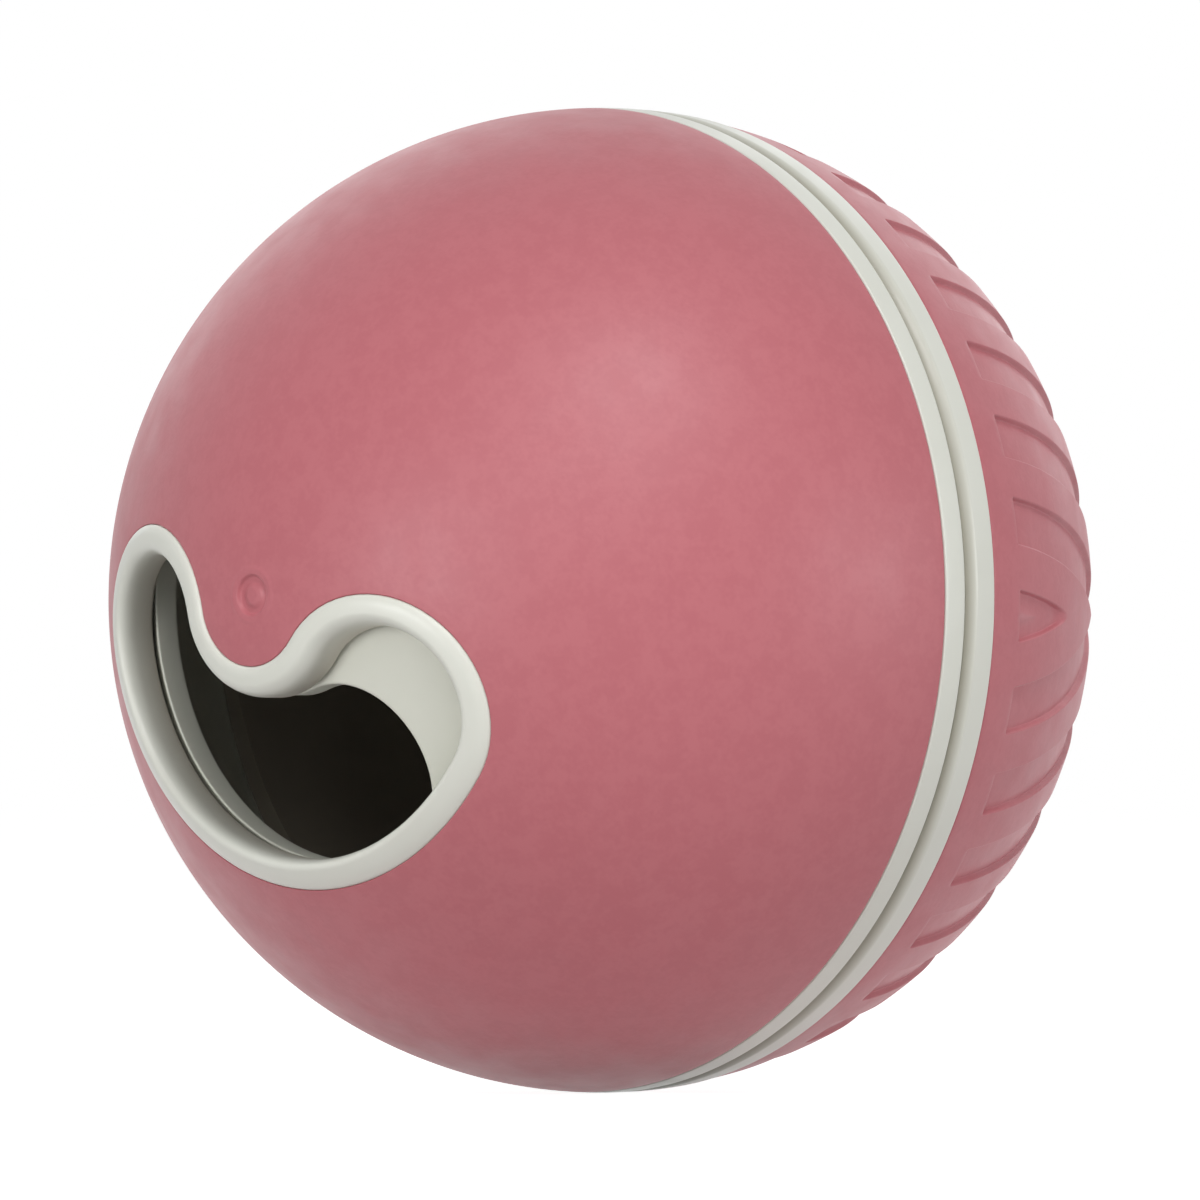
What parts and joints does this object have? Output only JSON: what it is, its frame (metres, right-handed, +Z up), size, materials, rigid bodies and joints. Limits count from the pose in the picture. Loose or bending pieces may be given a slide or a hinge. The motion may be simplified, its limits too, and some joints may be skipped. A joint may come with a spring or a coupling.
{
  "type": "treat dispensing ball",
  "caption": "Soft-skinned two-part ball toy that drops treats through a curved front opening, with a turning shutter dome and a screw-off ribbed rear half.",
  "frame": {"origin": "centre of the ball", "axes": "-Y out through the front pole, in the middle of the opening's curve; +X to the right seen from the front; +Z up"},
  "size_m": [0.1, 0.0998, 0.1],
  "materials": {
    "ivory_plastic": "satin ivory moulded plastic of the bands and the opening's lip",
    "ivory_shutter": "satin ivory moulded plastic of the turning shutter",
    "soft_skin": "dusty pink soft-touch overmoulded rubber with a fine matt grain",
    "dark_plastic": "charcoal moulded plastic",
    "seal_rubber": "grey silicone"
  },
  "bodies": {
    "front_half": {"front_shell": "ivory_plastic", "front_skin": "soft_skin", "retaining_ring": "dark_plastic"},
    "shutter": {"shutter_dome": "ivory_shutter"},
    "seal": {"seal_ring": "seal_rubber"},
    "rear_half": {"treat_cup": "dark_plastic", "rear_shell": "ivory_plastic", "rear_skin": "soft_skin"}
  },
  "joints": [
    {"name": "opening_adjust", "type": "hinge", "parent": "front_half", "child": "shutter", "pos_m": [0, 0, 0], "axis": [0, 1, 0], "range_deg": [-32.4, 132.6]},
    {"name": "rear_draw", "type": "slide", "parent": "shutter", "child": "seal", "axis": [0, 1, 0], "range_m": [0, 0.016]},
    {"name": "rear_unscrew", "type": "hinge", "parent": "seal", "child": "rear_half", "pos_m": [0, 0, 0], "axis": [0, 1, 0], "range_deg": [0, 180]}
  ],
  "couplings": [
    {"joint": "rear_draw", "follows": "rear_unscrew", "m_per_rad": 0.0050929}
  ]
}
